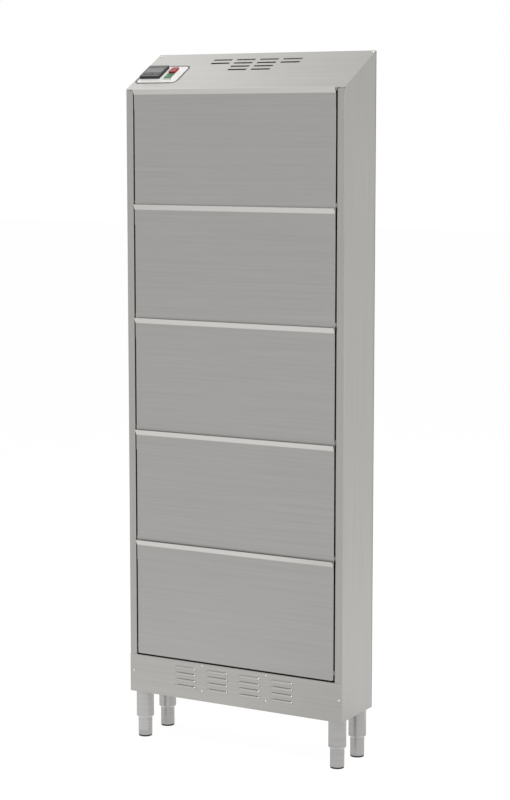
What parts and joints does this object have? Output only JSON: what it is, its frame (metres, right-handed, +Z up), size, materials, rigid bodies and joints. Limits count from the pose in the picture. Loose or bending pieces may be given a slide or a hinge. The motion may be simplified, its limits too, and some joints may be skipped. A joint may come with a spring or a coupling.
{
  "type": "drying cabinet",
  "caption": "Tall shallow sheet-metal shoe drying cabinet: tilt-out flaps with perforated trays, a blower and heater behind a louvred plinth, sloping roof with controls, adjustable legs",
  "frame": {"origin": "On the floor, at the middle of the footprint of the whole cabinet with its pull lips.", "axes": "+X to the right as seen from the front, +Y towards the back panel, +Z up."},
  "size_m": [0.7, 0.1986, 2.0001],
  "materials": {
    "body_steel": "fine brushed stainless sheet",
    "tray_steel": "plain mill-finish stainless sheet",
    "leg_steel": "turned and brushed stainless tube",
    "fixing_steel": "bright stainless fixings",
    "zinc_sheet": "zinc-coated sheet",
    "rotor_aluminium": "plain aluminium blades",
    "motor_core": "varnished core plates and coil",
    "heater_sheath": "heat-tinted steel tube",
    "bush_plastic": "off-white low-friction plastic",
    "buffer_rubber": "soft black rubber",
    "label_film": "pale film with a dark grey border",
    "black_plastic": "fine-textured black plastic",
    "face_plastic": "smooth grey front foil",
    "grey_plastic": "dark grey plastic",
    "green_plastic": "green button cap",
    "red_plastic": "red button cap",
    "pale_plastic": "pale grey insulating plastic",
    "pad_plastic": "dark non-slip plastic"
  },
  "bodies": {
    "cabinet": {"left_side_panel": "body_steel", "right_side_panel": "body_steel", "back_panel": "body_steel", "roof_panel": "body_steel", "plinth_panel": "body_steel", "floor_pan": "body_steel", "chamber_floor": "body_steel", "control_box": "body_steel", "wire_duct": "body_steel", "hinge_pins": "fixing_steel", "stop_buffers": "buffer_rubber", "closing_buffers": "buffer_rubber", "blower_housing": "zinc_sheet", "blower_motor": "motor_core", "rotor_bearing": "buffer_rubber", "heater_frame": "zinc_sheet", "heater_element": "heater_sheath", "safety_thermostat": "black_plastic", "control_label": "label_film", "controller_case": "black_plastic", "controller_face": "face_plastic", "switch_body": "pale_plastic", "switch_nut": "grey_plastic", "contact_block": "pale_plastic", "leg_sleeve_1": "leg_steel", "leg_sleeve_2": "leg_steel", "leg_sleeve_3": "leg_steel", "leg_sleeve_4": "leg_steel", "leg_nuts": "fixing_steel", "cable_gland": "black_plastic", "plinth_screws": "fixing_steel", "roof_screws": "fixing_steel", "back_screws": "fixing_steel"},
    "flap_1": {"flap_panel_1": "body_steel", "shoe_tray_1": "tray_steel", "flap_bushes_1": "bush_plastic"},
    "flap_2": {"flap_panel_2": "body_steel", "shoe_tray_2": "tray_steel", "flap_bushes_2": "bush_plastic"},
    "flap_3": {"flap_panel_3": "body_steel", "shoe_tray_3": "tray_steel", "flap_bushes_3": "bush_plastic"},
    "flap_4": {"flap_panel_4": "body_steel", "shoe_tray_4": "tray_steel", "flap_bushes_4": "bush_plastic"},
    "flap_5": {"flap_panel_5": "body_steel", "shoe_tray_5": "tray_steel", "flap_bushes_5": "bush_plastic"},
    "start": {"start_button": "green_plastic"},
    "stop": {"stop_button": "red_plastic"},
    "rotor": {"blower_rotor": "rotor_aluminium"},
    "leg_foot_1": {"foot_1": "leg_steel", "foot_pad_1": "pad_plastic"},
    "leg_foot_2": {"foot_2": "leg_steel", "foot_pad_2": "pad_plastic"},
    "leg_foot_3": {"foot_3": "leg_steel", "foot_pad_3": "pad_plastic"},
    "leg_foot_4": {"foot_4": "leg_steel", "foot_pad_4": "pad_plastic"}
  },
  "joints": [
    {"name": "flap_1_tilt", "type": "hinge", "parent": "cabinet", "child": "flap_1", "pos_m": [0, -0.08175, 0.2783], "axis": [1, 0, 0], "range_deg": [0, 40]},
    {"name": "flap_2_tilt", "type": "hinge", "parent": "cabinet", "child": "flap_2", "pos_m": [0, -0.08175, 0.6036], "axis": [1, 0, 0], "range_deg": [0, 40]},
    {"name": "flap_3_tilt", "type": "hinge", "parent": "cabinet", "child": "flap_3", "pos_m": [0, -0.08175, 0.9289], "axis": [1, 0, 0], "range_deg": [0, 40]},
    {"name": "flap_4_tilt", "type": "hinge", "parent": "cabinet", "child": "flap_4", "pos_m": [0, -0.08175, 1.2542], "axis": [1, 0, 0], "range_deg": [0, 40]},
    {"name": "flap_5_tilt", "type": "hinge", "parent": "cabinet", "child": "flap_5", "pos_m": [0, -0.08175, 1.5795], "axis": [1, 0, 0], "range_deg": [0, 40]},
    {"name": "start_press", "type": "slide", "parent": "cabinet", "child": "start", "axis": [0, 0.4837, -0.8752], "range_m": [0, 0.002], "stiffness_N_per_m": 800, "springref_m": -0.002},
    {"name": "stop_press", "type": "slide", "parent": "cabinet", "child": "stop", "axis": [0, 0.4837, -0.8752], "range_m": [0, 0.002], "stiffness_N_per_m": 800, "springref_m": -0.002},
    {"name": "rotor_spin", "type": "hinge", "parent": "cabinet", "child": "rotor", "pos_m": [0, -0.01675, 0.1915], "axis": [1, 0, 0], "continuous": true},
    {"name": "foot_1_level", "type": "slide", "parent": "cabinet", "child": "leg_foot_1", "axis": [0, 0, 1], "range_m": [-0.02, 0.03]},
    {"name": "foot_2_level", "type": "slide", "parent": "cabinet", "child": "leg_foot_2", "axis": [0, 0, 1], "range_m": [-0.02, 0.03]},
    {"name": "foot_3_level", "type": "slide", "parent": "cabinet", "child": "leg_foot_3", "axis": [0, 0, 1], "range_m": [-0.02, 0.03]},
    {"name": "foot_4_level", "type": "slide", "parent": "cabinet", "child": "leg_foot_4", "axis": [0, 0, 1], "range_m": [-0.02, 0.03]}
  ]
}
